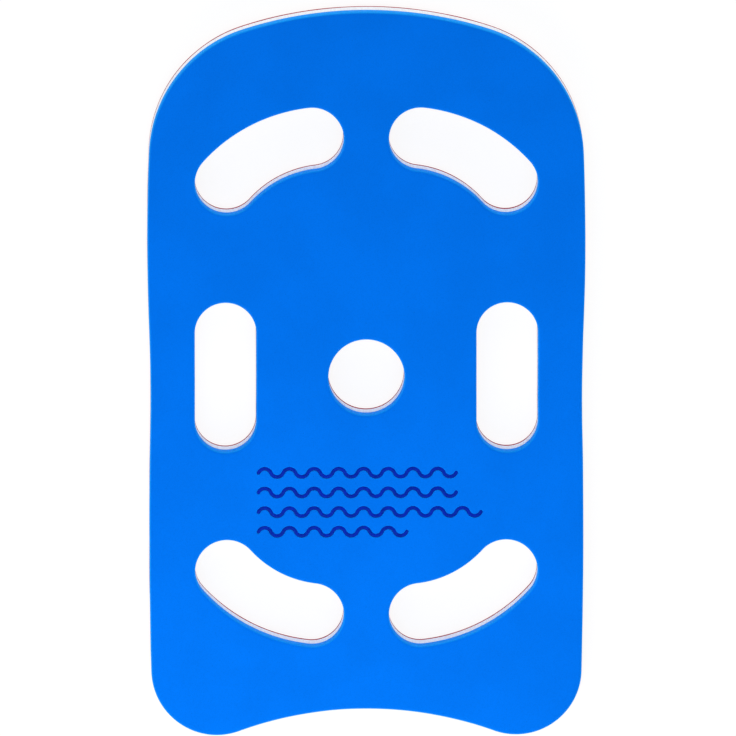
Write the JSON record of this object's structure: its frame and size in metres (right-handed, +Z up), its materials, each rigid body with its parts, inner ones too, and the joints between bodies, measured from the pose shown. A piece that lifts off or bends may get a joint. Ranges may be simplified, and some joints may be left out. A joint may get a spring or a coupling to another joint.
{
  "type": "kickboard float",
  "caption": "Flat three-layer foam swimming kickboard with a rounded nose, a hollowed tail, four curved corner grip slots, two straight side grip slots and a round centre hole.",
  "frame": {"origin": "on the back face, under the middle of the board's length and width, with the board lying on its red back", "axes": "+X across the board, +Y towards the rounded nose, +Z up out of the blue face"},
  "size_m": [0.3, 0.4999, 0.0355],
  "materials": {
    "blue_foam": "closed-cell polyethylene foam, bright blue, smooth skin with a faint sheen",
    "white_foam": "closed-cell polyethylene foam, white, cut edge",
    "red_foam": "closed-cell polyethylene foam, red, smooth skin with a faint sheen",
    "bond_film": "milky bonding film",
    "stamp_foil": "dark blue hot-stamping foil, satin"
  },
  "bodies": {
    "root": {"face_sheet": "blue_foam", "front_bond": "bond_film", "core_sheet": "white_foam", "rear_bond": "bond_film", "back_sheet": "red_foam", "wave_mark": "stamp_foil"}
  },
  "joints": []
}
